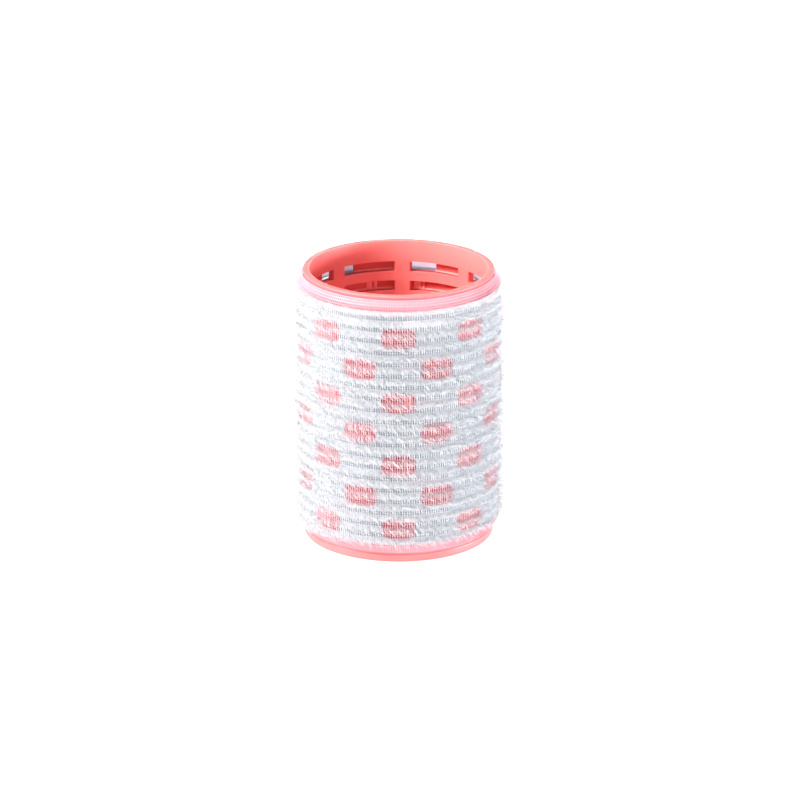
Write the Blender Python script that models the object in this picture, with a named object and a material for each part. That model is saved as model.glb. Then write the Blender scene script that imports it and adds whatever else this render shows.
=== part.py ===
"""Self-grip hair roller: a slotted double-wall plastic core wrapped in a woven hook net.

The roller stands on its base ring, centred on +Z, with its plain front column of oval
windows towards -Y. Lengths are in metres and angles in degrees, anticlockwise from +X.
"""

from math import cos, radians, sin

import bmesh
import bpy
from mathutils import Matrix, Vector

MM = 0.001
FULL_TURN = 360.0
QUARTER_TURN = 90.0
FRONT = -90.0
BACK = 90.0
SHARP_ANGLE = 35.0

# Whole roller
LENGTH = 63.0 * MM
GAP = 0.25 * MM

# Inner core tube, with a lip round its top and a base ring that it stands on
BORE_RADIUS = 20.2 * MM
CORE_RADIUS = 21.45 * MM
LIP_RADIUS = 21.65 * MM
LIP_HEIGHT = 0.55 * MM
BASE_RING_RADIUS = 21.7 * MM
BASE_RING_HEIGHT = 1.8 * MM
EDGE_ROUNDING = 0.3 * MM
SHOULDER_SLOPE = 0.15 * MM

# Slots through the inner core tube, in level rows that share the same pillars
SLOT_ROWS = 12
SLOTS_PER_ROW = 8
SLOT_SEGMENTS = 3
SLOT_PITCH = 4.64 * MM
SLOT_HEIGHT = 2.5 * MM
TOP_SLOT_DEPTH = 5.05 * MM
PILLAR_WIDTH = 9.4
PILLAR_ANGLE = BACK - 2.5

# Outer core tube, a thin layer round the inner one, with windows behind every other slot row
OUTER_CORE_INSIDE = 21.7 * MM
OUTER_CORE_OUTSIDE = 22.1 * MM
OUTER_CORE_BOTTOM = 3.9 * MM
OUTER_CORE_TOP = 59.9 * MM
WINDOWS_PER_ROW = 7
WINDOW_WIDTH = 23.0
WINDOW_ANGLE = BACK - 11.8
WINDOW_SEGMENTS = 2
WALL_SEGMENTS = 3
WINDOW_MARGIN = 0.3 * MM

# Backing sleeve, with staggered oval windows
SLEEVE_INSIDE = 22.35 * MM
SLEEVE_OUTSIDE = 22.6 * MM
SLEEVE_BOTTOM = 4.5 * MM
SLEEVE_TOP = 59.5 * MM
SLEEVE_SEGMENTS = 48
OVAL_COLUMNS = 16
OVAL_ROWS = 7
OVAL_PITCH = 7.515 * MM
TOP_OVAL_HEIGHT = 53.4 * MM
OVAL_WIDTH = 7.8 * MM
OVAL_HEIGHT = 4.8 * MM
OVAL_CORNER = 2.0 * MM
OVAL_CORNER_STEPS = 2
CUTTER_REACH = 1.0 * MM

# Hook net: it lies over the sleeve in the hook zone, and curves in to the core at both ends
NET_THICKNESS = 0.2 * MM
NET_EDGE_RADIUS = 21.9 * MM
NET_HOOK_ZONE_RADIUS = 23.1 * MM
NET_CURVE_STEPS = 4
NET_SEGMENTS = 48

# Hook rows, each one hooked filament's turn round the net
HOOK_ROWS = 21
HOOK_PITCH = 2.708 * MM
TOP_HOOK_HEIGHT = 59.6 * MM
HOOK_ROW_HEIGHT = 1.5 * MM
HOOK_INSIDE = 23.4 * MM
HOOK_OUTSIDE = 24.8 * MM
HOOK_SEGMENTS = 24


def clear_scene():
    for existing in list(bpy.data.objects):
        bpy.data.objects.remove(existing)


def plain_material(name, colour, roughness):
    material = bpy.data.materials.new(name)
    material.use_nodes = True
    shader = material.node_tree.nodes["Principled BSDF"]
    shader.inputs["Base Color"].default_value = (*colour, 1.0)
    shader.inputs["Roughness"].default_value = roughness
    shader.inputs["Metallic"].default_value = 0.0
    return material


def even_angles(count):
    return [FULL_TURN * step / count for step in range(count)]


def ring_of_points(mesh, radius, height, angles):
    """One closed ring of mesh vertices at the given angles."""
    return [
        mesh.verts.new((radius * cos(radians(a)), radius * sin(radians(a)), height))
        for a in angles
    ]


def cell_faces(mesh, lower, upper, here, there):
    """The outer and the inner face of one cell of a tube's wall."""
    low_inner, low_outer = lower
    high_inner, high_outer = upper
    mesh.faces.new((low_outer[here], low_outer[there], high_outer[there], high_outer[here]))
    mesh.faces.new((low_inner[there], low_inner[here], high_inner[here], high_inner[there]))


def level_face(mesh, ring, here, there, up):
    """A level face across the wall, facing up or down."""
    inner, outer = ring
    corners = [inner[here], inner[there], outer[there], outer[here]]
    mesh.faces.new(corners[::-1] if up else corners)


def upright_face(mesh, lower, upper, at, forward):
    """An upright face across the wall, facing the way the angles run, or back."""
    low_inner, low_outer = lower
    high_inner, high_outer = upper
    corners = [low_inner[at], high_inner[at], high_outer[at], low_outer[at]]
    mesh.faces.new(corners if forward else corners[::-1])


def tube_mesh(stations, angles, openings=frozenset()):
    """A tube through stations of (height, inner radius, outer radius), bottom to top.

    Openings holds (stretch, sector) pairs: the cells of the wall that are left out, each
    closed by plain faces between the inner and the outer side.
    """
    mesh = bmesh.new()
    rings = [
        (ring_of_points(mesh, inner, z, angles), ring_of_points(mesh, outer, z, angles))
        for z, inner, outer in stations
    ]
    sectors = len(angles)
    for sector in range(sectors):
        following = (sector + 1) % sectors
        level_face(mesh, rings[0], sector, following, up=False)
        level_face(mesh, rings[-1], sector, following, up=True)
        for stretch, (lower, upper) in enumerate(zip(rings, rings[1:])):
            if (stretch, sector) not in openings:
                cell_faces(mesh, lower, upper, sector, following)
                continue
            level_face(mesh, lower, sector, following, up=True)
            level_face(mesh, upper, sector, following, up=False)
            if (stretch, (sector - 1) % sectors) not in openings:
                upright_face(mesh, lower, upper, sector, forward=True)
            if (stretch, following) not in openings:
                upright_face(mesh, lower, upper, following, forward=False)
    return mesh


def make_object(name, mesh, material, parent):
    data = bpy.data.meshes.new(name)
    mesh.to_mesh(data)
    mesh.free()
    data.shade_smooth()
    data.set_sharp_from_angle(angle=radians(SHARP_ANGLE))
    data.materials.append(material)
    made = bpy.data.objects.new(name, data)
    bpy.context.scene.collection.objects.link(made)
    made.parent = parent
    return made


def slot_band(row):
    """Lower and upper height of a slot row, counted down from the rim."""
    top = LENGTH - TOP_SLOT_DEPTH - row * SLOT_PITCH
    return top - SLOT_HEIGHT, top


def inner_core_tube(material, parent):
    """The moulded tube that stands on the base ring and carries the slots."""
    stations = [
        (0.0, BORE_RADIUS + EDGE_ROUNDING, BASE_RING_RADIUS - EDGE_ROUNDING),
        (EDGE_ROUNDING, BORE_RADIUS, BASE_RING_RADIUS),
        (BASE_RING_HEIGHT - SHOULDER_SLOPE, BORE_RADIUS, BASE_RING_RADIUS),
        (BASE_RING_HEIGHT, BORE_RADIUS, CORE_RADIUS),
    ]
    slotted = []
    for row in reversed(range(SLOT_ROWS)):
        slotted.append(len(stations))
        stations += [(z, BORE_RADIUS, CORE_RADIUS) for z in slot_band(row)]
    lip_bottom = LENGTH - LIP_HEIGHT
    stations += [
        (lip_bottom, BORE_RADIUS, CORE_RADIUS),
        (lip_bottom + SHOULDER_SLOPE, BORE_RADIUS, LIP_RADIUS),
        (LENGTH, BORE_RADIUS + EDGE_ROUNDING, LIP_RADIUS),
    ]
    angles = []
    open_sectors = []
    for pillar in range(SLOTS_PER_ROW):
        start = PILLAR_ANGLE - PILLAR_WIDTH / 2 + pillar * FULL_TURN / SLOTS_PER_ROW
        slot_width = FULL_TURN / SLOTS_PER_ROW - PILLAR_WIDTH
        angles.append(start)
        for step in range(SLOT_SEGMENTS):
            open_sectors.append(len(angles))
            angles.append(start + PILLAR_WIDTH + step * slot_width / SLOT_SEGMENTS)
    openings = {(stretch, sector) for stretch in slotted for sector in open_sectors}
    return make_object("inner_core_tube", tube_mesh(stations, angles, openings), material, parent)


def outer_core_tube(material, parent):
    """The thin second wall, whose windows lie behind every other slot row."""
    stations = [(OUTER_CORE_BOTTOM, OUTER_CORE_INSIDE, OUTER_CORE_OUTSIDE)]
    windowed = []
    for row in reversed(range(0, SLOT_ROWS, 2)):
        low, high = slot_band(row)
        windowed.append(len(stations))
        stations += [
            (low - WINDOW_MARGIN, OUTER_CORE_INSIDE, OUTER_CORE_OUTSIDE),
            (high + WINDOW_MARGIN, OUTER_CORE_INSIDE, OUTER_CORE_OUTSIDE),
        ]
    stations.append((OUTER_CORE_TOP, OUTER_CORE_INSIDE, OUTER_CORE_OUTSIDE))
    angles = []
    open_sectors = []
    for window in range(WINDOWS_PER_ROW):
        start = WINDOW_ANGLE - WINDOW_WIDTH / 2 + window * FULL_TURN / WINDOWS_PER_ROW
        wall_width = FULL_TURN / WINDOWS_PER_ROW - WINDOW_WIDTH
        for step in range(WINDOW_SEGMENTS):
            open_sectors.append(len(angles))
            angles.append(start + step * WINDOW_WIDTH / WINDOW_SEGMENTS)
        for step in range(WALL_SEGMENTS):
            angles.append(start + WINDOW_WIDTH + step * wall_width / WALL_SEGMENTS)
    openings = {(stretch, sector) for stretch in windowed for sector in open_sectors}
    return make_object("outer_core_tube", tube_mesh(stations, angles, openings), material, parent)


def oval_outline():
    """A rounded rectangle about the origin, as (across, up) points."""
    points = []
    for corner, (side, end) in enumerate(((1, 1), (-1, 1), (-1, -1), (1, -1))):
        for step in range(OVAL_CORNER_STEPS + 1):
            turn = radians(QUARTER_TURN * (corner + step / OVAL_CORNER_STEPS))
            points.append(
                (
                    side * (OVAL_WIDTH / 2 - OVAL_CORNER) + OVAL_CORNER * cos(turn),
                    end * (OVAL_HEIGHT / 2 - OVAL_CORNER) + OVAL_CORNER * sin(turn),
                )
            )
    return points


def oval_places():
    """Angle and height of every oval window: alternate rows sit on alternate columns."""
    for row in range(OVAL_ROWS):
        for column in range(row % 2, OVAL_COLUMNS, 2):
            yield FRONT + column * FULL_TURN / OVAL_COLUMNS, TOP_OVAL_HEIGHT - row * OVAL_PITCH


def oval_cutters(parent):
    """One prism for each oval window, set radially through the sleeve's wall."""
    mesh = bmesh.new()
    near = SLEEVE_INSIDE - CUTTER_REACH
    far = SLEEVE_OUTSIDE + CUTTER_REACH
    for angle, height in oval_places():
        turn = Matrix.Rotation(radians(angle), 4, "Z")
        ends = []
        for reach in (near, far):
            ends.append(
                [mesh.verts.new(turn @ Vector((reach, a, height + up))) for a, up in oval_outline()]
            )
        inside, outside = ends
        mesh.faces.new(list(reversed(inside)))
        mesh.faces.new(outside)
        for i, corner in enumerate(inside):
            following = (i + 1) % len(inside)
            mesh.faces.new((corner, inside[following], outside[following], outside[i]))
    data = bpy.data.meshes.new("oval_cutters")
    mesh.to_mesh(data)
    mesh.free()
    cutters = bpy.data.objects.new("oval_cutters", data)
    bpy.context.scene.collection.objects.link(cutters)
    cutters.parent = parent
    cutters.hide_render = True
    cutters.display_type = "WIRE"
    return cutters


def backing_sleeve(material, parent):
    """The white sleeve between the core and the net, with its oval windows cut out."""
    stations = [(z, SLEEVE_INSIDE, SLEEVE_OUTSIDE) for z in (SLEEVE_BOTTOM, SLEEVE_TOP)]
    mesh = tube_mesh(stations, even_angles(SLEEVE_SEGMENTS))
    sleeve = make_object("backing_sleeve", mesh, material, parent)
    cut = sleeve.modifiers.new("oval_windows", "BOOLEAN")
    cut.operation = "DIFFERENCE"
    cut.solver = "EXACT"
    cut.object = oval_cutters(parent)
    return sleeve


def net_curve(edge, zone):
    """Stations of the net's smooth curve from its edge at one height to its hook zone."""
    stations = []
    for step in range(NET_CURVE_STEPS + 1):
        share = step / NET_CURVE_STEPS
        swell = share * share * (3 - 2 * share)
        outside = NET_EDGE_RADIUS + (NET_HOOK_ZONE_RADIUS - NET_EDGE_RADIUS) * swell
        stations.append((edge + (zone - edge) * share, outside - NET_THICKNESS, outside))
    return stations


def hook_net(material, parent):
    """The woven net: it is bonded to the core at both ends, and passes over the sleeve."""
    lower_curve = net_curve(BASE_RING_HEIGHT + GAP, SLEEVE_BOTTOM - GAP)
    upper_curve = net_curve(LENGTH - LIP_HEIGHT - GAP, SLEEVE_TOP + GAP)
    stations = lower_curve + upper_curve[::-1]
    mesh = tube_mesh(stations, even_angles(NET_SEGMENTS))
    return make_object("hook_net", mesh, material, parent)


def hook_rows(material, parent):
    """The envelope of each turn of hooks, as a plain ring for every row."""
    for row in range(HOOK_ROWS):
        middle = TOP_HOOK_HEIGHT - row * HOOK_PITCH
        stations = [
            (middle - HOOK_ROW_HEIGHT / 2, HOOK_INSIDE, HOOK_OUTSIDE),
            (middle + HOOK_ROW_HEIGHT / 2, HOOK_INSIDE, HOOK_OUTSIDE),
        ]
        mesh = tube_mesh(stations, even_angles(HOOK_SEGMENTS))
        make_object(f"hook_row_{row + 1:02d}", mesh, material, parent)


def build_roller():
    clear_scene()
    roller = bpy.data.objects.new("roller", None)
    bpy.context.scene.collection.objects.link(roller)
    coral = plain_material("coral_plastic", (0.93, 0.31, 0.28), 0.38)
    pale_coral = plain_material("pale_coral_plastic", (0.88, 0.26, 0.25), 0.5)
    white_film = plain_material("white_film", (0.9, 0.9, 0.92), 0.55)
    clear_nylon = plain_material("net_nylon", (0.92, 0.88, 0.9), 0.5)
    white_nylon = plain_material("hook_nylon", (0.93, 0.94, 0.97), 0.35)
    inner_core_tube(coral, roller)
    outer_core_tube(pale_coral, roller)
    backing_sleeve(white_film, roller)
    hook_net(clear_nylon, roller)
    hook_rows(white_nylon, roller)


build_roller()
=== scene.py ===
from math import asin, cos, degrees, hypot, pi, radians, sin

import bmesh
import bpy
import numpy as np
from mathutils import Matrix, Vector


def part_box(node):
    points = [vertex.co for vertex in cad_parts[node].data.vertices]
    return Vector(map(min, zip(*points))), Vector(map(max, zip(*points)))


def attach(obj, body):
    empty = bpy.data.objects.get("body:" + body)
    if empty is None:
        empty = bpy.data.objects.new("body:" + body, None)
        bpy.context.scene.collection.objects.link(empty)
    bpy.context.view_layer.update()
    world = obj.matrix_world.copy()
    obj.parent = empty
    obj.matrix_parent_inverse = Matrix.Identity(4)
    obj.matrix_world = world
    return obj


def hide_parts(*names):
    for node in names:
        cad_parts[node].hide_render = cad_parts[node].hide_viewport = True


# A self-grip hair roller. A coral plastic core of two slotted tubes is wrapped in a white
# film with oval windows, and over it lies a woven hook net. Lengths are in metres and
# angles in degrees, anticlockwise from +X, with the front towards -Y.

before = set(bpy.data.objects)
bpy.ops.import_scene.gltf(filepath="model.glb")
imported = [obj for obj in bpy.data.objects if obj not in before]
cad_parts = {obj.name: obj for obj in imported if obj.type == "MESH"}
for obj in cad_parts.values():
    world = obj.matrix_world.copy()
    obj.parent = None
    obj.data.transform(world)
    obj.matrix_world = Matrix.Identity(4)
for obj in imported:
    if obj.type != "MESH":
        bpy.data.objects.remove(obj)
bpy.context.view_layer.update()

MM = 0.001
FULL_TURN = 360.0
FRONT = -90.0
BACK = 90.0
BODY = "root"


def reach(node):
    """The largest distance from the roller's axis to a point of a CAD node."""
    return max(hypot(v.co.x, v.co.y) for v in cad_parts[node].data.vertices)


def bore(node):
    """The smallest distance from the roller's axis to a point of a CAD node."""
    return min(hypot(v.co.x, v.co.y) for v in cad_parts[node].data.vertices)


def span(node):
    """The lowest and the highest height of a CAD node."""
    low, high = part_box(node)
    return low.z, high.z


HOOK_NODES = sorted(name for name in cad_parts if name.startswith("hook_row_"))
LENGTH = span("inner_core_tube")[1]

# Inner core tube
BORE_RADIUS = bore("inner_core_tube")
BASE_RING_RADIUS = reach("inner_core_tube")
BASE_RING_HEIGHT = 1.8 * MM
CORE_RADIUS = BASE_RING_RADIUS - 0.25 * MM
LIP_RADIUS = BASE_RING_RADIUS - 0.05 * MM
LIP_HEIGHT = 0.55 * MM
OUTER_EDGE_ROUNDING = 0.3 * MM
INNER_EDGE_ROUNDING = 0.12 * MM
ROUNDING_STEPS = 5
SLOT_EDGE_ROUNDING = 0.14 * MM
PILLAR_STEPS = 6
SLOT_STEPS = 24
SHARP_ANGLE = 50.0

# Slots, in level rows that share the same pillars
SLOT_ROWS = 12
SLOTS_PER_ROW = 8
SLOT_PITCH = 4.64 * MM
SLOT_HEIGHT = 2.5 * MM
TOP_SLOT_DEPTH = 5.05 * MM
PILLAR_WIDTH = 9.4
PILLAR_ANGLE = BACK - 2.5

# Outer core tube: a sloped ledge at the foot of every slot row. Wide windows are cut through
# the ledge and the wall behind every other row, and upright fins stand behind the rest.
OUTER_CORE_INSIDE = bore("outer_core_tube")
OUTER_CORE_OUTSIDE = reach("outer_core_tube")
WINDOWS_PER_ROW = 7
WINDOW_WIDTH = 25.6
WINDOW_ANGLE = BACK - 10.5
WINDOW_MARGIN = 0.3 * MM
FINS_PER_ROW = 12
WIDE_FIN_WIDTH = 3.3
WIDE_FIN_ANGLE = BACK + 18.4
THIN_FIN_WIDTH = 0.9
THIN_FIN_ANGLE = BACK + 14.4
LEDGE_DEPTH = 0.18 * MM
LEDGE_LOW = 0.15 * MM
LEDGE_HIGH = 0.7 * MM
WALL_STEP = 0.8
WALL_EDGE_ROUNDING = SLOT_EDGE_ROUNDING / 3
WALL_SHARP_ANGLE = 60.0

# White film between the core and the net, with staggered oval windows
FILM_OUTSIDE = reach("backing_sleeve")
FILM_THICKNESS = 0.25 * MM
FILM_SECTORS = 192
FILM_STEPS = 12
FILM_SHARP_ANGLE = 35.0
OVAL_COLUMNS = 16
OVAL_ROWS = 7
OVAL_PITCH = 7.515 * MM
TOP_OVAL_HEIGHT = 53.4 * MM
OVAL_WIDTH = 7.8 * MM
OVAL_HEIGHT = 4.8 * MM
OVAL_CORNER = 2.2 * MM
OVAL_CORNER_STEPS = 8
OVAL_CUT_REACH = 2 * MM

# Net: it starts under its own end at the seam, so it covers a little more than one turn.
# Its tapes are broad in the plain bands at both ends, and narrow where the hooks are.
NET_LOW, NET_HIGH = span("hook_net")
NET_ZONE_RADIUS = reach("hook_net") - 0.1 * MM
NET_EDGE_RADIUS = NET_ZONE_RADIUS - 1.2 * MM
NET_CURVE_HEIGHT = 2.4 * MM
SEAM_ANGLE = BACK + 28.0
WALES_PER_TURN = 264
OVERLAP_WALES = 6
SEAM_STEP = 0.4 * MM
SEAM_STEP_WALES = 2
COURSES_PER_HOOK_ROW = 5
BAND_TAPE = (0.3 * MM, 0.2 * MM)
RIB_TAPE = (0.14 * MM, 0.08 * MM)
GAP_TAPE = (0.12 * MM, 0.05 * MM)
GAP_HEIGHT = 1.0 * MM
BAND_FADE = 0.5 * MM
WALE_THREAD_RADIUS = 0.07 * MM
WALE_LIFT = 0.09 * MM
WALE_PULL = 0.03 * MM
WALE_POINTS_PER_COURSE = 2

# Hooks, which stand in ribs, and the pile yarns that run along each rib
HOOK_REACH = reach(HOOK_NODES[0])
HOOK_RISE = HOOK_REACH - NET_ZONE_RADIUS
RIB_HEIGHT = 1.7 * MM
HOOKS_LOW = 4.95 * MM
HOOKS_HIGH = 60.2 * MM
HOOK_FEET_HEIGHT = 0.8 * MM
HOOK_FEET_RAISE = 0.45 * MM
HOOK_FEET_SCATTER = 0.1 * MM
HOOK_FOOT_LIFT = 0.1 * MM
HOOKS_PER_STITCH = 2
HOOK_LENGTH = (2.5 * MM, 3.5 * MM)
HOOK_RADIUS = 0.05 * MM
HOOK_TAPER = 0.3
HOOK_POINTS = 9
HOOK_STRAIGHT = 0.3
HOOK_SWAY = 0.12 * MM
HOOK_LEAN = 15.0
HOOK_CURL = (100.0, 190.0)
HOOK_DROOP = 50.0
HOOK_SCATTER = 18.0
HOOK_TILT = 0.2
YARNS_PER_RIB = 5
YARN_RADIUS = 0.05 * MM
YARN_WAVE = 0.2 * MM
YARN_LIFT = 0.2 * MM
YARN_DEPTH = 0.06 * MM
YARN_PHASES = 3
YARN_POINTS_PER_WALE = 4
SEED = 20

# Finishes. A pair of colours is the dark and the light one that faint noise runs between,
# and a range is the values of that noise at which each is reached. The inner faces of the
# plastic take other colours within a skin this thick: lit and shaded copies of the plastic's
# colour, painted light and painted shade. A patch's edge is where it starts and where it is
# full, as shares of its half width.
CORAL = ((0.78, 0.125, 0.125), (0.82, 0.145, 0.145))
# The bore's faces are a lighter copy of the coral: painted light.
CORAL_INSIDE_PAINTED_LIGHT = ((0.85, 0.185, 0.172), (0.89, 0.213, 0.2))
# The outer tube's outer face, darkened as the shade of the film and net over it: painted
# shade.
DEEP_CORAL_PAINTED_SHADE = ((0.34, 0.04, 0.05), (0.4, 0.055, 0.065))
DEEP_CORAL_INSIDE = ((0.66, 0.1, 0.095), (0.7, 0.12, 0.115))
# Ledges and fins that stand in from the wall, painted pale as if lit from above: painted
# light.
DEEP_CORAL_PAINTED_LIGHT = ((0.9, 0.34, 0.32), (0.94, 0.38, 0.36))
FILM_WHITE = ((0.8, 0.84, 0.9), (0.88, 0.92, 0.96))
# Grey painted on the film in the gaps between the hook rows: painted shade.
FILM_PAINTED_SHADE = (0.4, 0.44, 0.5)
NET_NYLON = ((0.84, 0.85, 0.9), (0.95, 0.96, 0.98))
# The hook nylon's grey stands in for the dark surroundings seen in clear nylon: painted
# reflection.
HOOK_NYLON_AND_DARK_REFLECTION = ((0.46, 0.49, 0.56), (0.98, 0.99, 1.0))
PAPER = ((0.36, 0.36, 0.37), (0.38, 0.38, 0.39))
NOISE_RANGE = (0.3, 0.7)
NYLON_RANGE = (0.37, 0.5)
CORE_SKIN = 0.2 * MM
SKIN_BLUR = 0.04 * MM
PLASTIC_ROUGHNESS = (0.35, 0.47)
FILM_ROUGHNESS = (0.5, 0.68)
NYLON_ROUGHNESS_CHANGE = (-0.08, 0.1)
FILM_TRANSLUCENCE = 0.65
GAP_EDGE = (1.3, 0.9)

# The nylon is painted pink in the plain bands at both ends, and deep in the pile over the
# film's windows: painted glow of the coral core's light coming through the nylon.
BAND_CORE_GLOW = (0.9, 0.55, 0.63)
BAND_GLOW_LOW = 4.9 * MM
BAND_GLOW_HIGH = 59.2 * MM
BAND_GLOW_FADE = 0.9 * MM
# Pink painted into the nylon over the windows, for the core's light coming through: painted
# glow.
WINDOW_CORE_GLOW = (0.95, 0.45, 0.52)
WINDOW_GLOW_STRENGTH = 0.55
WINDOW_GLOW_DEPTH = 0.5 * MM
WINDOW_GLOW_SQUARENESS = 4.0
WINDOW_GLOW_EDGE = (1.2, 0.8)


def hook_row_middle(node):
    low, high = span(node)
    return (low + high) / 2


HOOK_MIDDLES = [hook_row_middle(node) for node in HOOK_NODES]
HOOK_PITCH = (HOOK_MIDDLES[0] - HOOK_MIDDLES[-1]) / (len(HOOK_MIDDLES) - 1)
HOOK_ZONE_LOW = HOOK_MIDDLES[-1] - HOOK_PITCH / 2


# ---------------------------------------------------------------- materials


def new_material(name, roughness, specular=0.5):
    """A Principled material with an object-space coordinate to drive its patterns."""
    material = bpy.data.materials.new(name)
    material.use_nodes = True
    nodes = material.node_tree.nodes
    shader = nodes["Principled BSDF"]
    shader.inputs["Roughness"].default_value = roughness
    shader.inputs["Specular IOR Level"].default_value = specular
    place = nodes.new("ShaderNodeTexCoord")
    return material, shader, place.outputs["Object"]


def link(material, source, target):
    material.node_tree.links.new(source, target)


def noise(material, place, scale, detail=3.0):
    """A noise texture's value. Its scale is how many of its features fit in a metre."""
    node = material.node_tree.nodes.new("ShaderNodeTexNoise")
    node.inputs["Scale"].default_value = scale
    node.inputs["Detail"].default_value = detail
    link(material, place, node.inputs["Vector"])
    return node.outputs["Fac"]


def ramp(material, value, stops):
    """Colours along a value, as (position, (r, g, b)) stops."""
    node = material.node_tree.nodes.new("ShaderNodeValToRGB")
    elements = node.color_ramp.elements
    while len(elements) < len(stops):
        elements.new(1.0)
    for element, (position, colour) in zip(elements, stops):
        element.position = position
        element.color = (*colour, 1.0)
    link(material, value, node.inputs["Fac"])
    return node.outputs["Color"]


def mottled(material, value, colours, between=NOISE_RANGE):
    """A dark colour up to the first of two values, and a light one from the second."""
    return ramp(material, value, list(zip(between, colours)))


def coordinates(material, place):
    """A place's outputs by axis: X, Y and Z."""
    axes = material.node_tree.nodes.new("ShaderNodeSeparateXYZ")
    link(material, place, axes.inputs["Vector"])
    return axes.outputs


def calculated(material, operation, *values):
    """A maths node's result. Each value is a number or another node's output."""
    node = material.node_tree.nodes.new("ShaderNodeMath")
    node.operation = operation
    for socket, value in zip(node.inputs, values):
        if isinstance(value, (int, float)):
            socket.default_value = value
        else:
            link(material, value, socket)
    return node.outputs["Value"]


def remapped(material, value, before, after=(0.0, 1.0), clamp=True):
    """A value of the range before, moved to the same share of the range after."""
    node = material.node_tree.nodes.new("ShaderNodeMapRange")
    node.clamp = clamp
    node.inputs["From Min"].default_value, node.inputs["From Max"].default_value = before
    node.inputs["To Min"].default_value, node.inputs["To Max"].default_value = after
    link(material, value, node.inputs["Value"])
    return node.outputs["Result"]


def nearer_than(material, place, radius, blur):
    """1 where a point lies nearer the roller's axis than a radius, and 0 beyond it."""
    x, y, _ = coordinates(material, place)
    squares = [calculated(material, "MULTIPLY", value, value) for value in (x, y)]
    distance = calculated(material, "SQRT", calculated(material, "ADD", *squares))
    return remapped(material, distance, (radius + blur / 2, radius - blur / 2))


def over_windows(material, place):
    """1 over the film's windows, where the core shows through the nylon, and 0 elsewhere.

    Rows are counted down from the top one, and columns round from the front. A row has a
    window at every other column, and the next row has its windows at the columns between.
    """
    x, y, z = coordinates(material, place)
    rows = (TOP_OVAL_HEIGHT, TOP_OVAL_HEIGHT - (OVAL_ROWS - 1) * OVAL_PITCH)
    row = remapped(material, z, rows, (0.0, OVAL_ROWS - 1), clamp=False)
    nearest = calculated(material, "ROUND", remapped(material, z, rows, (0.0, OVAL_ROWS - 1)))
    turn = calculated(material, "ARCTAN2", y, x)
    columns = (radians(FRONT), radians(FRONT) + 2 * pi)
    column = remapped(material, turn, columns, (0.0, OVAL_COLUMNS), clamp=False)
    aside = calculated(material, "SUBTRACT", column, nearest)
    aside = calculated(material, "PINGPONG", aside, 1.0)
    above = calculated(material, "SUBTRACT", row, nearest)
    above = calculated(material, "ABSOLUTE", above)
    column_width = 2 * pi * FILM_OUTSIDE / OVAL_COLUMNS
    across = calculated(material, "MULTIPLY", aside, 2 * column_width / OVAL_WIDTH)
    across = calculated(material, "POWER", across, WINDOW_GLOW_SQUARENESS)
    up = calculated(material, "MULTIPLY", above, 2 * OVAL_PITCH / OVAL_HEIGHT)
    up = calculated(material, "POWER", up, WINDOW_GLOW_SQUARENESS)
    return remapped(material, calculated(material, "ADD", across, up), WINDOW_GLOW_EDGE)


def bump(material, shader, height, distance, strength):
    node = material.node_tree.nodes.new("ShaderNodeBump")
    node.inputs["Distance"].default_value = distance
    node.inputs["Strength"].default_value = strength
    link(material, height, node.inputs["Height"])
    link(material, node.outputs["Normal"], shader.inputs["Normal"])


def mixed_colour(material, share, first, second):
    """Two colours mixed. The second is (r, g, b) or another node's output."""
    node = material.node_tree.nodes.new("ShaderNodeMix")
    node.data_type = "RGBA"
    link(material, share, node.inputs["Factor"])
    link(material, first, node.inputs["A"])
    if isinstance(second, tuple):
        node.inputs["B"].default_value = (*second, 1.0)
    else:
        link(material, second, node.inputs["B"])
    return node.outputs["Result"]


def moulded_plastic(name, colours, inner_faces):
    """Satin moulded plastic with faint flow marks and a fine grain.

    Inner faces, from the outside in, are the radius that each lies within and its colours,
    which are lit and shaded copies of the plastic's colour: painted light and painted shade.
    """
    material, shader, place = new_material(name, roughness=0.4)
    flow = noise(material, place, scale=90.0)
    colour = mottled(material, flow, colours)
    for radius, inner_colours in inner_faces:
        near = nearer_than(material, place, radius, SKIN_BLUR)
        colour = mixed_colour(material, near, colour, mottled(material, flow, inner_colours))
    link(material, colour, shader.inputs["Base Color"])
    grain = noise(material, place, scale=2600.0, detail=2.0)
    roughness = remapped(material, grain, NOISE_RANGE, PLASTIC_ROUGHNESS)
    link(material, roughness, shader.inputs["Roughness"])
    bump(material, shader, grain, distance=0.02 * MM, strength=0.35)
    return material


def between_rows(material, place):
    """1 in the gaps between the rows of hooks, and 0 behind the rows."""
    rows = (HOOK_ZONE_LOW, HOOK_ZONE_LOW + HOOK_PITCH)
    row = remapped(material, coordinates(material, place)["Z"], rows, clamp=False)
    from_gap = calculated(material, "PINGPONG", row, 0.5)
    half_gap = GAP_HEIGHT / 2 / HOOK_PITCH
    return remapped(material, from_gap, [edge * half_gap for edge in GAP_EDGE])


def white_film():
    """Matt white film with a fine felted grain, painted grey between the rows as shade."""
    material, shader, place = new_material("white_film", roughness=0.6)
    cloud = noise(material, place, scale=150.0)
    colour = mottled(material, cloud, FILM_WHITE)
    # Painted shade: the film is greyed in the gaps between the hook rows.
    colour = mixed_colour(material, between_rows(material, place), colour, FILM_PAINTED_SHADE)
    link(material, colour, shader.inputs["Base Color"])
    grain = noise(material, place, scale=3200.0)
    roughness = remapped(material, grain, NOISE_RANGE, FILM_ROUGHNESS)
    link(material, roughness, shader.inputs["Roughness"])
    bump(material, shader, grain, distance=0.03 * MM, strength=0.4)
    nodes = material.node_tree.nodes
    glow = nodes.new("ShaderNodeBsdfTranslucent")
    link(material, colour, glow.inputs["Color"])
    both = nodes.new("ShaderNodeMixShader")
    both.inputs["Fac"].default_value = FILM_TRANSLUCENCE
    link(material, shader.outputs["BSDF"], both.inputs[1])
    link(material, glow.outputs["BSDF"], both.inputs[2])
    link(material, both.outputs["Shader"], nodes["Material Output"].inputs["Surface"])
    return material


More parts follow.
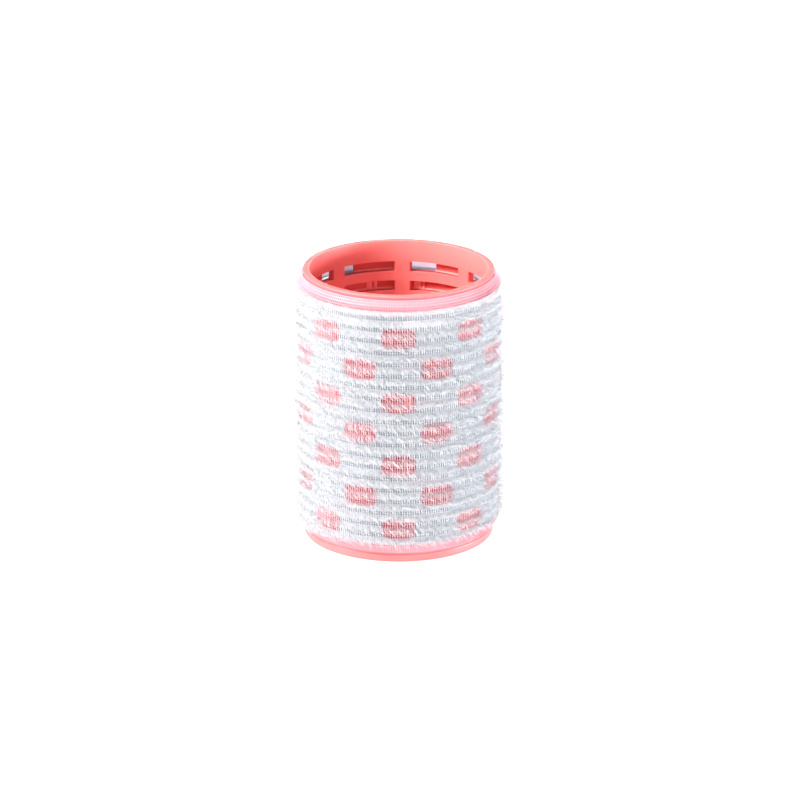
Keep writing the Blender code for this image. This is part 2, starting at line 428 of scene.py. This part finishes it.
def nylon(name, colours, roughness, transmission, end_glow):
    """Half-clear nylon filament, grey in some places and milky white in others. In the hooks
    the grey is painted reflection, standing in for the dark surroundings that clear nylon
    shows.

    Towards the roller's ends, where the net is pressed to the core, it takes on end_glow,
    and deep in the pile over the film's windows it takes on the core's colour: both are
    painted glow of the core's light coming through the nylon.
    """
    material, shader, place = new_material(name, roughness)
    shader.inputs["Transmission Weight"].default_value = transmission
    thread = noise(material, place, scale=1800.0, detail=2.0)
    colour = mottled(material, thread, colours, NYLON_RANGE)
    height = remapped(material, coordinates(material, place)["Z"], (0.0, LENGTH))
    # Painted glow: the core's pink light coming through the nylon in the plain end bands.
    edges = [
        (middle + side * BAND_GLOW_FADE) / LENGTH
        for middle in (BAND_GLOW_LOW, BAND_GLOW_HIGH)
        for side in (-0.5, 0.5)
    ]
    glowing, plain = (1.0, 1.0, 1.0), (0.0, 0.0, 0.0)
    end_glow_share = ramp(material, height, list(zip(edges, (glowing, plain, plain, glowing))))
    colour = mixed_colour(material, end_glow_share, colour, end_glow)
    # Painted glow: the core's light coming through the nylon over the film's windows.
    deep = nearer_than(material, place, NET_ZONE_RADIUS + WINDOW_GLOW_DEPTH, WINDOW_GLOW_DEPTH)
    window_glow = calculated(material, "MULTIPLY", over_windows(material, place), deep)
    window_glow = calculated(material, "MULTIPLY", window_glow, WINDOW_GLOW_STRENGTH)
    colour = mixed_colour(material, window_glow, colour, WINDOW_CORE_GLOW)
    link(material, colour, shader.inputs["Base Color"])
    roughnesses = [roughness + change for change in NYLON_ROUGHNESS_CHANGE]
    varied = remapped(material, thread, NOISE_RANGE, roughnesses)
    link(material, varied, shader.inputs["Roughness"])
    return material


# ---------------------------------------------------------------- meshes


def add_piece(name, data, material, replaced):
    """Puts a mesh in the scene as a piece of the roller, in place of some CAD nodes."""
    data.materials.append(material)
    piece = bpy.data.objects.new(name, data)
    bpy.context.scene.collection.objects.link(piece)
    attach(piece, BODY)
    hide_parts(*replaced)
    return piece


def rounded(radius, height, rounding, out, up):
    """Points of a quarter round, as (height, radius), from a tube's side to its end.

    The corner that is rounded off lies at (height, radius). Out is 1 for an outer edge and
    -1 for the edge of a bore, and up is 1 for an upper edge and -1 for a lower one.
    """
    points = []
    for step in range(ROUNDING_STEPS + 1):
        turn = pi / 2 * step / ROUNDING_STEPS
        points.append(
            (
                height - up * rounding * (1 - sin(turn)),
                radius - out * rounding * (1 - cos(turn)),
            )
        )
    return points


def straight(height, inner, outer):
    """A station whose inner and outer points are at the same height."""
    return (height, inner), (height, outer)


def ring(mesh, point, angles):
    """A level ring of points, at a (height, radius) and at each of the angles."""
    height, radius = point
    return [
        mesh.verts.new((radius * cos(radians(a)), radius * sin(radians(a)), height))
        for a in angles
    ]


def level(mesh, station, here, there, up):
    """A level face across the wall, facing up or down."""
    inner, outer = station
    corners = [inner[here], inner[there], outer[there], outer[here]]
    mesh.faces.new(corners[::-1] if up else corners)


def tube(stations, inner_angles, outer_angles, is_open):
    """A tube through stations, each an inner and an outer (height, radius), bottom to top.

    is_open(stretch, sector) says which cells of the wall are left out. Each opening is
    closed by faces between the inner and the outer side.
    """
    mesh = bmesh.new()
    rings = [
        (ring(mesh, inner, inner_angles), ring(mesh, outer, outer_angles))
        for inner, outer in stations
    ]
    count = len(inner_angles)
    for here in range(count):
        there = (here + 1) % count
        level(mesh, rings[0], here, there, up=False)
        level(mesh, rings[-1], here, there, up=True)
        for stretch, (low, high) in enumerate(zip(rings, rings[1:])):
            if not is_open(stretch, here):
                for side, (a, b) in enumerate(((there, here), (here, there))):
                    mesh.faces.new((low[side][a], low[side][b], high[side][b], high[side][a]))
                continue
            if not is_open(stretch - 1, here):
                level(mesh, low, here, there, up=True)
            if not is_open(stretch + 1, here):
                level(mesh, high, here, there, up=False)
            if not is_open(stretch, (here - 1) % count):
                mesh.faces.new((low[0][here], high[0][here], high[1][here], low[1][here]))
            if not is_open(stretch, there):
                mesh.faces.new((low[1][there], high[1][there], high[0][there], low[0][there]))
    return mesh


def bevelled(name, mesh, width, limit):
    """The mesh with its sharp edges rounded off and the rest shaded smooth."""
    sharp = [
        edge for edge in mesh.edges
        if len(edge.link_faces) == 2 and edge.calc_face_angle(0.0) > radians(limit)
    ]
    bmesh.ops.bevel(
        mesh, geom=sharp, offset=width, segments=2, profile=0.5, affect="EDGES",
        clamp_overlap=False,
    )
    data = bpy.data.meshes.new(name)
    mesh.to_mesh(data)
    mesh.free()
    data.shade_smooth()
    data.set_sharp_from_angle(angle=radians(limit))
    return data


# ---------------------------------------------------------------- core


def slot_band(row):
    """Lower and upper height of a slot row, counted down from the rim."""
    top = LENGTH - TOP_SLOT_DEPTH - row * SLOT_PITCH
    return top - SLOT_HEIGHT, top


def pillar_and_slot_angles():
    """Angles round the tube on its inner and outer side, and which sectors are slots.

    A slot's ends are parallel to the way its mould slides out, so on the outer side the
    same slot takes up a smaller angle.
    """
    pitch = FULL_TURN / SLOTS_PER_ROW
    half_slot = (pitch - PILLAR_WIDTH) / 2
    half_outer = degrees(asin(sin(radians(half_slot)) * BORE_RADIUS / CORE_RADIUS))
    inner_angles, outer_angles, slots = [], [], []
    for slot in range(SLOTS_PER_ROW):
        middle = PILLAR_ANGLE + (slot + 0.5) * pitch
        for step in range(SLOT_STEPS):
            share = 2 * step / SLOT_STEPS - 1
            slots.append(len(inner_angles))
            inner_angles.append(middle + share * half_slot)
            outer_angles.append(middle + share * half_outer)
        for step in range(PILLAR_STEPS):
            share = step / PILLAR_STEPS
            inner_angles.append(middle + half_slot + share * (pitch - 2 * half_slot))
            outer_angles.append(middle + half_outer + share * (pitch - 2 * half_outer))
    return inner_angles, outer_angles, set(slots)


def core_inner(material):
    """The moulded tube with its lip, base ring and slots."""
    foot_in = rounded(BORE_RADIUS, 0.0, INNER_EDGE_ROUNDING, out=-1, up=-1)
    foot_out = rounded(BASE_RING_RADIUS, 0.0, OUTER_EDGE_ROUNDING, out=1, up=-1)
    stations = list(zip(foot_in, foot_out))[::-1]
    shoulder = rounded(BASE_RING_RADIUS, BASE_RING_HEIGHT, OUTER_EDGE_ROUNDING, out=1, up=1)
    stations += [straight(z, BORE_RADIUS, max(r, CORE_RADIUS)) for z, r in shoulder]
    slotted = set()
    for row in reversed(range(SLOT_ROWS)):
        slotted.add(len(stations))
        stations += [straight(z, BORE_RADIUS, CORE_RADIUS) for z in slot_band(row)]
    under_lip = LENGTH - LIP_HEIGHT
    stations.append(straight(under_lip - LIP_HEIGHT, BORE_RADIUS, CORE_RADIUS))
    stations.append(straight(under_lip, BORE_RADIUS, CORE_RADIUS))
    lip_in = rounded(BORE_RADIUS, LENGTH, INNER_EDGE_ROUNDING, out=-1, up=1)
    lip_out = rounded(LIP_RADIUS, LENGTH, OUTER_EDGE_ROUNDING, out=1, up=1)
    stations += zip(lip_in, lip_out)
    inner_angles, outer_angles, slots = pillar_and_slot_angles()
    mesh = tube(
        stations, inner_angles, outer_angles,
        lambda stretch, sector: stretch in slotted and sector in slots,
    )
    data = bevelled("core_inner", mesh, SLOT_EDGE_ROUNDING, SHARP_ANGLE)
    return add_piece("core_inner", data, material, ["inner_core_tube"])


def falls_in(angle, count, width, middle):
    """True where a level row of count even openings of that width holds the angle."""
    pitch = FULL_TURN / count
    off = (angle - middle + pitch / 2) % pitch - pitch / 2
    return abs(off) < width / 2


def draw_fins_in(vertices, angles, radius):
    """Moves the points of a level ring that belong to fins in to a radius."""
    for vertex, angle in zip(vertices, angles):
        wide = falls_in(angle, FINS_PER_ROW, WIDE_FIN_WIDTH, WIDE_FIN_ANGLE)
        if wide or falls_in(angle, FINS_PER_ROW, THIN_FIN_WIDTH, THIN_FIN_ANGLE):
            drawn_in = radius / hypot(vertex.co.x, vertex.co.y)
            vertex.co.x *= drawn_in
            vertex.co.y *= drawn_in


def core_outer(material):
    """The thin second wall, with a sloped ledge along the foot of every slot row.

    Wide windows are cut through the ledge and the wall behind every other slot row. Behind
    the rest, upright fins stand in from the wall in pairs, a wide one and a thin one.
    """
    low_end, high_end = span("outer_core_tube")
    inside, outside = OUTER_CORE_INSIDE, OUTER_CORE_OUTSIDE
    stations = [straight(low_end, inside, outside)]
    windows, fins = set(), set()
    for row in reversed(range(SLOT_ROWS)):
        low, high = slot_band(row)
        stations.append(straight(low + LEDGE_LOW - LEDGE_DEPTH, inside, outside))
        stations.append(straight(low + LEDGE_LOW, inside - LEDGE_DEPTH, outside))
        if row % 2 == 0:
            windows |= {len(stations) - 1, len(stations)}
        else:
            fins |= {len(stations), len(stations) + 1}
        stations.append(straight(low + LEDGE_HIGH, inside, outside))
        stations.append(straight(high + WINDOW_MARGIN, inside, outside))
    stations.append(straight(high_end, inside, outside))
    count = int(FULL_TURN / WALL_STEP)
    angles = [step * WALL_STEP for step in range(count)]

    def is_open(stretch, sector):
        middle = angles[sector % count] + WALL_STEP / 2
        return stretch in windows and falls_in(
            middle, WINDOWS_PER_ROW, WINDOW_WIDTH, WINDOW_ANGLE
        )

    mesh = tube(stations, angles, angles, is_open)
    mesh.verts.ensure_lookup_table()
    for station in fins:
        first = station * 2 * count
        draw_fins_in(mesh.verts[first:first + count], angles, inside - LEDGE_DEPTH)
    data = bevelled("core_outer", mesh, WALL_EDGE_ROUNDING, WALL_SHARP_ANGLE)
    return add_piece("core_outer", data, material, ["outer_core_tube"])


# ---------------------------------------------------------------- film


def oval_outline():
    """A rounded rectangle about the origin, as (across, up) points."""
    points = []
    for corner, (side, end) in enumerate(((1, 1), (-1, 1), (-1, -1), (1, -1))):
        for step in range(OVAL_CORNER_STEPS + 1):
            turn = pi / 2 * (corner + step / OVAL_CORNER_STEPS)
            points.append(
                (
                    side * (OVAL_WIDTH / 2 - OVAL_CORNER) + OVAL_CORNER * cos(turn),
                    end * (OVAL_HEIGHT / 2 - OVAL_CORNER) + OVAL_CORNER * sin(turn),
                )
            )
    return points


def oval_prisms():
    """Cutters for the film's windows, each one a prism along its own radius."""
    mesh = bmesh.new()
    for row in range(OVAL_ROWS):
        height = TOP_OVAL_HEIGHT - row * OVAL_PITCH
        for column in range(row % 2, OVAL_COLUMNS, 2):
            turn = radians(FRONT + column * FULL_TURN / OVAL_COLUMNS)
            outward = Vector((cos(turn), sin(turn), 0.0))
            across = Vector((-sin(turn), cos(turn), 0.0))
            ends = [
                [
                    mesh.verts.new(outward * r + across * a + Vector((0.0, 0.0, height + up)))
                    for a, up in oval_outline()
                ]
                for r in (FILM_OUTSIDE - OVAL_CUT_REACH, FILM_OUTSIDE + OVAL_CUT_REACH)
            ]
            inside, outside = ends
            mesh.faces.new(inside[::-1])
            mesh.faces.new(outside)
            for i, corner in enumerate(inside):
                following = (i + 1) % len(inside)
                mesh.faces.new((corner, inside[following], outside[following], outside[i]))
    data = bpy.data.meshes.new("oval_prisms")
    mesh.to_mesh(data)
    mesh.free()
    cutter = bpy.data.objects.new("oval_prisms", data)
    bpy.context.scene.collection.objects.link(cutter)
    return cutter


def film_sleeve(material):
    """The white film, a thin tube with its oval windows cut out."""
    low, high = span("backing_sleeve")
    film_inside = FILM_OUTSIDE - FILM_THICKNESS
    stations = [
        straight(low + (high - low) * step / FILM_STEPS, film_inside, FILM_OUTSIDE)
        for step in range(FILM_STEPS + 1)
    ]
    angles = [FULL_TURN * step / FILM_SECTORS for step in range(FILM_SECTORS)]
    mesh = tube(stations, angles, angles, lambda stretch, sector: False)
    data = bpy.data.meshes.new("film_sleeve_uncut")
    mesh.to_mesh(data)
    mesh.free()
    uncut = bpy.data.objects.new("film_sleeve_uncut", data)
    bpy.context.scene.collection.objects.link(uncut)
    cutter = oval_prisms()
    cut = uncut.modifiers.new("windows", "BOOLEAN")
    cut.operation = "DIFFERENCE"
    cut.solver = "EXACT"
    cut.object = cutter
    seen = uncut.evaluated_get(bpy.context.evaluated_depsgraph_get())
    result = bpy.data.meshes.new_from_object(seen)
    result.name = "film_sleeve"
    bpy.data.objects.remove(uncut)
    bpy.data.objects.remove(cutter)
    result.shade_smooth()
    result.set_sharp_from_angle(angle=radians(FILM_SHARP_ANGLE))
    return add_piece("film_sleeve", result, material, ["backing_sleeve"])


# ---------------------------------------------------------------- hook net


def smooth_step(value):
    """0 up to 0, 1 from 1, and a smooth rise between them."""
    value = np.clip(value, 0.0, 1.0)
    return value * value * (3 - 2 * value)


def ground_radius(turn, height):
    """The net's own radius: it curves in to the core at both ends, and laps over the seam."""
    from_edge = np.minimum(height - NET_LOW, NET_HIGH - height)
    swell = smooth_step(from_edge / NET_CURVE_HEIGHT)
    lap = smooth_step((turn - 1) * WALES_PER_TURN / SEAM_STEP_WALES + 1)
    return NET_EDGE_RADIUS + (NET_ZONE_RADIUS - NET_EDGE_RADIUS) * swell + SEAM_STEP * lap


def on_roller(turn, height, lift):
    """Places points of the flat fabric on the roller.

    Turn counts whole turns from the fabric's covered edge, and lift is the distance out
    from its ground.
    """
    angle = radians(SEAM_ANGLE) + 2 * pi * turn
    radius = ground_radius(turn, height) + lift
    x, y = radius * np.cos(angle), radius * np.sin(angle)
    return np.stack((x, y, np.broadcast_to(height, x.shape)), axis=-1)


def mesh_of(name, points, faces):
    """A smooth mesh from an array of points and lists of their numbers."""
    data = bpy.data.meshes.new(name)
    data.from_pydata(points.tolist(), [], faces)
    data.shade_smooth()
    return data


def course_heights():
    """Heights of the weft threads, from the net's lower edge to its upper edge."""
    pitch = HOOK_PITCH / COURSES_PER_HOOK_ROW
    first = HOOK_ZONE_LOW - int((HOOK_ZONE_LOW - NET_LOW) / pitch) * pitch
    count = int((NET_HIGH - first) / pitch) + 1
    return first + pitch * np.arange(count)


def tape_sizes(heights):
    """Half the width of the upright tapes, and half the height of the level ones."""
    rows = (heights - HOOK_ZONE_LOW) / HOOK_PITCH
    from_gap = np.abs(rows - np.round(rows)) * HOOK_PITCH
    gap = 1 - smooth_step((from_gap - GAP_HEIGHT / 2) / (GAP_HEIGHT / 2))
    inside = np.minimum(heights - HOOKS_LOW, HOOKS_HIGH - heights)
    hooked = smooth_step(inside / BAND_FADE + 1)
    sizes = []
    for band, rib, between in zip(BAND_TAPE, RIB_TAPE, GAP_TAPE):
        under_hooks = rib + (between - rib) * gap
        sizes.append((band + (under_hooks - band) * hooked) / 2)
    return sizes


def net_ground(material):
    """The open ground of the net: level and upright tapes joined where they cross."""
    heights = course_heights()
    wales = WALES_PER_TURN + OVERLAP_WALES
    turns = np.arange(wales) / WALES_PER_TURN
    circumference = 2 * pi * NET_ZONE_RADIUS
    half_wide, half_high = tape_sizes(heights)
    corners = []
    for side, end in ((-1, -1), (1, -1), (1, 1), (-1, 1)):
        turn = turns[:, None] + side * half_wide[None, :] / circumference
        height = np.broadcast_to(heights + end * half_high, turn.shape)
        corners.append(on_roller(turn, height, 0.0))
    points = np.stack(corners, axis=2).reshape(-1, 3)
    index = (np.arange(wales)[:, None] * len(heights) + np.arange(len(heights))) * 4
    crossing = np.stack([index + k for k in range(4)], axis=-1).reshape(-1, 4)
    here, above = index[:, :-1], index[:, 1:]
    upright = np.stack((here + 3, here + 2, above + 1, above), axis=-1).reshape(-1, 4)
    here, beside = index[:-1], index[1:]
    across = np.stack((here + 1, beside, beside + 3, here + 2), axis=-1).reshape(-1, 4)
    faces = np.concatenate((crossing, upright, across)).tolist()
    data = mesh_of("net_ground", points, faces)
    return add_piece("net_ground", data, material, ["hook_net"])


def threads(lines, across, radius, sides=3):
    """Round closed threads along lines, an array of (thread, point, xyz).

    Across is a direction for each point that the line doesn't run along, and radius is one
    number or an array of (thread, point).
    """
    tangent = np.gradient(lines, axis=1)
    tangent /= np.linalg.norm(tangent, axis=-1, keepdims=True)
    side = across - tangent * np.sum(across * tangent, axis=-1, keepdims=True)
    side /= np.linalg.norm(side, axis=-1, keepdims=True)
    rise = np.cross(tangent, side)
    around = 2 * pi * np.arange(sides) / sides
    wide = np.broadcast_to(radius, lines.shape[:2])[..., None, None]
    rim = (
        lines[:, :, None]
        + wide * np.cos(around)[:, None] * side[:, :, None]
        + wide * np.sin(around)[:, None] * rise[:, :, None]
    )
    count, length = lines.shape[:2]
    index = np.arange(count * length * sides).reshape(count, length, sides)
    beside = np.roll(index, -1, axis=2)
    quads = np.stack((index[:, :-1], beside[:, :-1], beside[:, 1:], index[:, 1:]), axis=-1)
    faces = quads.reshape(-1, 4).tolist()
    faces += index[:, 0, ::-1].tolist()
    faces += index[:, -1].tolist()
    return rim.reshape(-1, 3), faces


def joined(parts):
    """Several (points, faces) parts as one."""
    points = np.concatenate([part for part, _ in parts])
    faces = []
    offset = 0
    for part, part_faces in parts:
        faces += [[corner + offset for corner in face] for face in part_faces]
        offset += len(part)
    return points, faces


def tangential(turn):
    """The direction round the roller at each turn."""
    angle = radians(SEAM_ANGLE) + 2 * pi * turn
    return np.stack((-np.sin(angle), np.cos(angle), np.zeros_like(angle)), axis=-1)


def net_wales(material):
    """The chain stitches: an upright thread along each wale, pulled in at every course."""
    count = WALE_POINTS_PER_COURSE * len(course_heights())
    heights = np.linspace(NET_LOW, NET_HIGH, count)
    turns = np.arange(WALES_PER_TURN + OVERLAP_WALES) / WALES_PER_TURN
    turn = np.broadcast_to(turns[:, None], (len(turns), count))
    height = np.broadcast_to(heights, turn.shape)
    pull = WALE_PULL * np.where(np.arange(count) % 2 == 0, 1.0, -1.0)
    lines = on_roller(turn, height, WALE_LIFT + pull)
    points, faces = threads(lines, tangential(turn), WALE_THREAD_RADIUS)
    data = mesh_of("net_wales", points, faces)
    return add_piece("net_wales", data, material, [])


def rib_yarns(middle):
    """The pile yarns that run along a row: each one waves in and out between the wales."""
    wales = WALES_PER_TURN + OVERLAP_WALES
    turn = np.linspace(0.0, (wales - 1) / WALES_PER_TURN, YARN_POINTS_PER_WALE * wales)
    spacing = RIB_HEIGHT / YARNS_PER_RIB
    heights = middle + spacing * (np.arange(YARNS_PER_RIB) - (YARNS_PER_RIB - 1) / 2)
    heights = heights[(heights > HOOKS_LOW) & (heights < HOOKS_HIGH)]
    turn = np.broadcast_to(turn, (len(heights), len(turn)))
    phase = 2 * pi * np.arange(len(heights)) / YARN_PHASES
    wave = 2 * pi * WALES_PER_TURN * turn + phase[:, None]
    height = heights[:, None] + YARN_WAVE * np.sin(wave)
    lines = on_roller(turn, height, YARN_LIFT + YARN_DEPTH * np.cos(wave))
    up = np.broadcast_to(np.array((0.0, 0.0, 1.0)), lines.shape)
    return threads(lines, up, YARN_RADIUS)


def hooks(middle, random):
    """One row of hooks: filaments that rise, lean round the roller and curl over."""
    stitches = np.arange(OVERLAP_WALES, WALES_PER_TURN + OVERLAP_WALES)
    place = (np.arange(HOOKS_PER_STITCH) + 0.5) / HOOKS_PER_STITCH - 0.5
    stitch = np.repeat(stitches, HOOKS_PER_STITCH)
    stitch = stitch + random.uniform(-0.5, 0.5, len(stitch))
    foot = middle + HOOK_FEET_RAISE + HOOK_FEET_HEIGHT * np.tile(place, len(stitches))
    foot += random.normal(0.0, HOOK_FEET_SCATTER, len(foot))
    kept = (foot > HOOKS_LOW) & (foot < HOOKS_HIGH)
    stitch, foot = stitch[kept, None], foot[kept, None]
    count = len(stitch)

    def scattered(low, high):
        return random.uniform(low, high, (count, 1))

    share = np.linspace(0.0, 1.0, HOOK_POINTS)
    lean = radians(HOOK_LEAN) + radians(HOOK_SCATTER) * scattered(-1.0, 1.0)
    curl = scattered(radians(HOOK_CURL[0]), radians(HOOK_CURL[1]))
    droop = radians(HOOK_DROOP) + radians(HOOK_SCATTER) * random.normal(0.0, 1.0, (count, 1))
    step = scattered(*HOOK_LENGTH) / (HOOK_POINTS - 1)
    bend = lean + curl * np.clip((share - HOOK_STRAIGHT) / (1 - HOOK_STRAIGHT), 0.0, 1.0)
    lift = np.cumsum(np.cos(bend) * step, axis=1) - np.cos(bend[:, :1]) * step
    along = np.cumsum(np.sin(bend) * step, axis=1) - np.sin(bend[:, :1]) * step
    sway = HOOK_SWAY * share * np.sin(2 * pi * (share + scattered(0.0, 1.0)))
    shift = along * np.cos(droop) + sway * np.sin(droop)
    turn = stitch / WALES_PER_TURN + shift / (2 * pi * NET_ZONE_RADIUS)
    tilt = random.normal(0.0, HOOK_TILT, (count, 1))
    height = foot - along * np.sin(droop) + sway * np.cos(droop) + tilt * lift
    lift = np.minimum(HOOK_FOOT_LIFT + lift, HOOK_RISE - HOOK_RADIUS)
    lines = on_roller(turn, height, lift)
    upward = np.array((0.0, 0.0, 1.0))
    across = np.cos(droop)[..., None] * upward + np.sin(droop)[..., None] * tangential(turn)
    return threads(lines, across, HOOK_RADIUS * (1 - HOOK_TAPER * share ** 3))


def hook_rows(material):
    """A piece for each row of the CAD model: its hooks and its pile yarns."""
    random = np.random.default_rng(SEED)
    made = []
    for node, middle in zip(HOOK_NODES, HOOK_MIDDLES):
        name = node.replace("hook_row", "hooks")
        points, faces = joined([rib_yarns(middle), hooks(middle, random)])
        data = mesh_of(name, points, faces)
        made.append(add_piece(name, data, material, [node]))
    return made


# ---------------------------------------------------------------- stage, light and camera

CAMERA_DISTANCE = 0.94
CAMERA_ELEVATION = 19.53
CAMERA_LENS = 185.3
CAMERA_SHIFT = (0.00175, -0.0019)
SWEEP_FLAT_RADIUS = 3.2
SWEEP_CURVE_RADIUS = 1.6
SWEEP_CURVE_ANGLE = 60.0
SWEEP_STEPS = 12
SWEEP_SECTORS = 96
SWEEP_DROP = 0.02 * MM
SWEEP_GLOW = 0.9
SKY_COLOUR = (0.93, 0.96, 1.0)
SKY_STRENGTH = 0.25
SOFTBOX_DISTANCE = 1.1

# Each softbox's azimuth, elevation, size, watts, colour, and whether it shows in gloss.
# Azimuth 0 is the front, and 90 is +X.
SOFTBOXES = {
    "key": (-72.0, 38.0, 0.35, 22.0, (1.0, 0.985, 0.97), True),
    "front": (-32.0, 3.0, 0.35, 16.5, (1.0, 0.99, 0.98), False),
    "fill": (82.0, 1.5, 0.25, 32.0, (0.93, 0.97, 1.0), True),
    "top": (-40.0, 80.0, 0.6, 11.0, (1.0, 0.99, 0.98), True),
    "back": (180.0, 8.0, 0.5, 40.0, (1.0, 1.0, 1.0), False),
}


def aim(thing, target):
    """Turns a lamp or the camera to face a point."""
    direction = Vector(target) - thing.location
    thing.rotation_euler = direction.to_track_quat("-Z", "Y").to_euler()


def add_sweep():
    """A white paper floor that curves up into a low round backdrop, lit to a clean white."""
    material, shader, place = new_material("studio_paper", roughness=0.9, specular=0.1)
    mottle = noise(material, place, scale=4.0)
    link(material, mottled(material, mottle, PAPER), shader.inputs["Base Color"])
    shader.inputs["Emission Color"].default_value = (1.0, 1.0, 1.0, 1.0)
    shader.inputs["Emission Strength"].default_value = SWEEP_GLOW
    profile = [(SWEEP_FLAT_RADIUS / 4, 0.0), (SWEEP_FLAT_RADIUS, 0.0)]
    for step in range(1, SWEEP_STEPS + 1):
        turn = radians(SWEEP_CURVE_ANGLE) * step / SWEEP_STEPS
        profile.append(
            (
                SWEEP_FLAT_RADIUS + SWEEP_CURVE_RADIUS * sin(turn),
                SWEEP_CURVE_RADIUS * (1 - cos(turn)),
            )
        )
    mesh = bmesh.new()
    angles = [FULL_TURN * step / SWEEP_SECTORS for step in range(SWEEP_SECTORS)]
    rings = [ring(mesh, (height, radius), angles) for radius, height in profile]
    mesh.faces.new(rings[0])
    for inner, outer in zip(rings, rings[1:]):
        for here in range(SWEEP_SECTORS):
            there = (here + 1) % SWEEP_SECTORS
            mesh.faces.new((inner[here], outer[here], outer[there], inner[there]))
    data = bpy.data.meshes.new("sweep")
    mesh.to_mesh(data)
    mesh.free()
    data.shade_smooth()
    data.materials.append(material)
    sweep = bpy.data.objects.new("sweep", data)
    sweep.location.z = -SWEEP_DROP
    bpy.context.scene.collection.objects.link(sweep)


def add_softbox(name, azimuth, elevation, size, watts, colour, in_gloss, target):
    """A round softbox aimed at the target."""
    turn = radians(FRONT + azimuth)
    rise = radians(elevation)
    data = bpy.data.lights.new(name, "AREA")
    data.shape = "DISK"
    data.size = size
    data.energy = watts
    data.color = colour
    lamp = bpy.data.objects.new(name, data)
    outward = Vector((cos(turn) * cos(rise), sin(turn) * cos(rise), sin(rise)))
    lamp.location = Vector(target) + outward * SOFTBOX_DISTANCE
    lamp.visible_camera = False
    lamp.visible_glossy = in_gloss
    bpy.context.scene.collection.objects.link(lamp)
    aim(lamp, target)


def add_light(middle):
    world = bpy.data.worlds.new("studio")
    world.use_nodes = True
    background = world.node_tree.nodes["Background"]
    background.inputs["Color"].default_value = (*SKY_COLOUR, 1.0)
    background.inputs["Strength"].default_value = SKY_STRENGTH
    bpy.context.scene.world = world
    for name, settings in SOFTBOXES.items():
        add_softbox(name, *settings, middle)


def add_camera(middle):
    data = bpy.data.cameras.new("camera")
    data.lens = CAMERA_LENS
    data.shift_x, data.shift_y = CAMERA_SHIFT
    camera = bpy.data.objects.new("camera", data)
    rise = radians(CAMERA_ELEVATION)
    offset = Vector((0.0, -cos(rise), sin(rise))) * CAMERA_DISTANCE
    camera.location = Vector(middle) + offset
    bpy.context.scene.collection.objects.link(camera)
    aim(camera, middle)
    bpy.context.scene.camera = camera


def build():
    middle = (0.0, 0.0, LENGTH / 2)
    bpy.context.scene.view_settings.view_transform = "Standard"
    add_camera(middle)
    add_light(middle)
    add_sweep()
    # The coral is painted lighter on the bore's faces than outside: painted light.
    coral = moulded_plastic("coral", CORAL, [(BORE_RADIUS + CORE_SKIN, CORAL_INSIDE_PAINTED_LIGHT)])
    # The ledges and fins are painted paler than the wall: painted light.
    inner_faces = [
        (OUTER_CORE_OUTSIDE - CORE_SKIN / 2, DEEP_CORAL_INSIDE),
        (OUTER_CORE_INSIDE - LEDGE_DEPTH / 3, DEEP_CORAL_PAINTED_LIGHT),
    ]
    # The deep coral's own colour, on its outer face, is painted shade.
    deep_coral = moulded_plastic("deep_coral", DEEP_CORAL_PAINTED_SHADE, inner_faces)
    net_nylon = nylon(
        # The net's pink ends are painted glow of the coral core seen through the nylon.
        "net_nylon", NET_NYLON, roughness=0.42, transmission=0.45, end_glow=BAND_CORE_GLOW
    )
    hook_nylon = nylon(
        "hook_nylon", HOOK_NYLON_AND_DARK_REFLECTION, roughness=0.36, transmission=0.49, end_glow=HOOK_NYLON_AND_DARK_REFLECTION[1]
    )
    core = core_inner(coral)
    core_outer(deep_coral)
    film = film_sleeve(white_film())
    ground = net_ground(net_nylon)
    pile = [net_wales(net_nylon), *hook_rows(hook_nylon)]


build()
